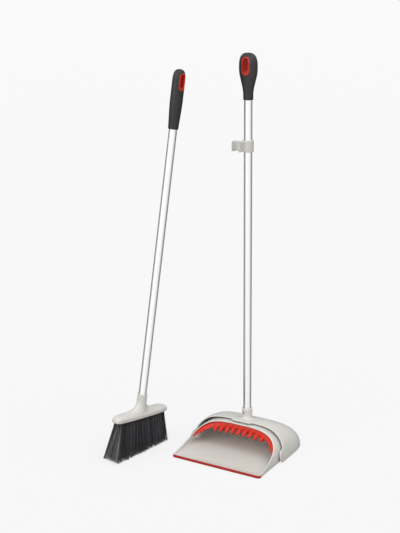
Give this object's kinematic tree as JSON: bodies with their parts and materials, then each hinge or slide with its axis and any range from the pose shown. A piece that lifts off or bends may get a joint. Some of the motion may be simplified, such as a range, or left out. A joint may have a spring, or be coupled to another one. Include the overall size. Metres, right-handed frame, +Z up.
{
  "type": "dust pan and brush set",
  "caption": "Long-handled dust pan with a swinging scoop under a domed hood, and a matching upright broom that stands beside it.",
  "frame": {"origin": "on the floor, on the axis of the pan's pole, at the flat underside of the pan", "axes": "+Z up along the pan's pole, +X across the pan, -Y out of the pan's mouth; the broom stands on the -X side"},
  "size_m": [0.3771, 0.3399, 0.943],
  "materials": {
    "shell_plastic": "warm light grey, satin",
    "red_rubber": "orange-red, soft satin",
    "lip_rubber": "dark red, matt",
    "grip_rubber": "charcoal, soft satin",
    "core_plastic": "black, matt",
    "aluminium_tube": "satin, drawn lengthways",
    "spring_steel": "bright, brushed",
    "bristle_nylon": "black fibre with split tips"
  },
  "bodies": {
    "pan_frame": {"pan_hood": "shell_plastic", "pivot_pin_left": "shell_plastic", "pivot_pin_right": "shell_plastic", "pan_pole": "aluminium_tube", "pan_snap_spring": "spring_steel", "pan_grip_core": "core_plastic", "pan_grip_skin": "grip_rubber", "pan_hang_ring": "red_rubber"},
    "pan": {"pan_tray": "shell_plastic", "pan_lip": "lip_rubber", "pan_comb": "red_rubber"},
    "clip": {"storage_clip": "shell_plastic"},
    "pan_button": {"pan_snap_button": "spring_steel"},
    "broom": {"broom_head": "shell_plastic", "bristle_block": "core_plastic", "bristle_row_1": "bristle_nylon", "bristle_row_2": "bristle_nylon", "bristle_row_3": "bristle_nylon", "bristle_row_4": "bristle_nylon", "bristle_row_5": "bristle_nylon", "broom_pole": "aluminium_tube", "broom_snap_spring": "spring_steel", "broom_grip_core": "core_plastic", "broom_grip_skin": "grip_rubber", "broom_hang_ring": "red_rubber"},
    "broom_button": {"broom_snap_button": "spring_steel"}
  },
  "joints": [
    {"name": "pan_swing", "type": "hinge", "parent": "pan_frame", "child": "pan", "pos_m": [0, -0.0465, 0.0145], "axis": [-1, 0, 0], "range_deg": [0, 65]},
    {"name": "clip_swivel", "type": "hinge", "parent": "pan_frame", "child": "clip", "pos_m": [0, 0, 0.734], "axis": [0, 0, 1], "continuous": true},
    {"name": "pan_button_press", "type": "slide", "parent": "pan_frame", "child": "pan_button", "axis": [0.2588, 0.9659, 0], "range_m": [0, 0.0034], "stiffness_N_per_m": 800, "springref_m": -0.001, "deforming": ["pan_snap_spring"]},
    {"name": "broom_lift", "type": "slide", "parent": "pan_frame", "child": "broom", "axis": [0, 0, 1], "range_m": [0, 0.3]},
    {"name": "broom_button_press", "type": "slide", "parent": "broom", "child": "broom_button", "axis": [-0.9604, -0.2566, 0.1086], "range_m": [0, 0.0034], "stiffness_N_per_m": 800, "springref_m": -0.001, "deforming": ["broom_snap_spring"]}
  ]
}
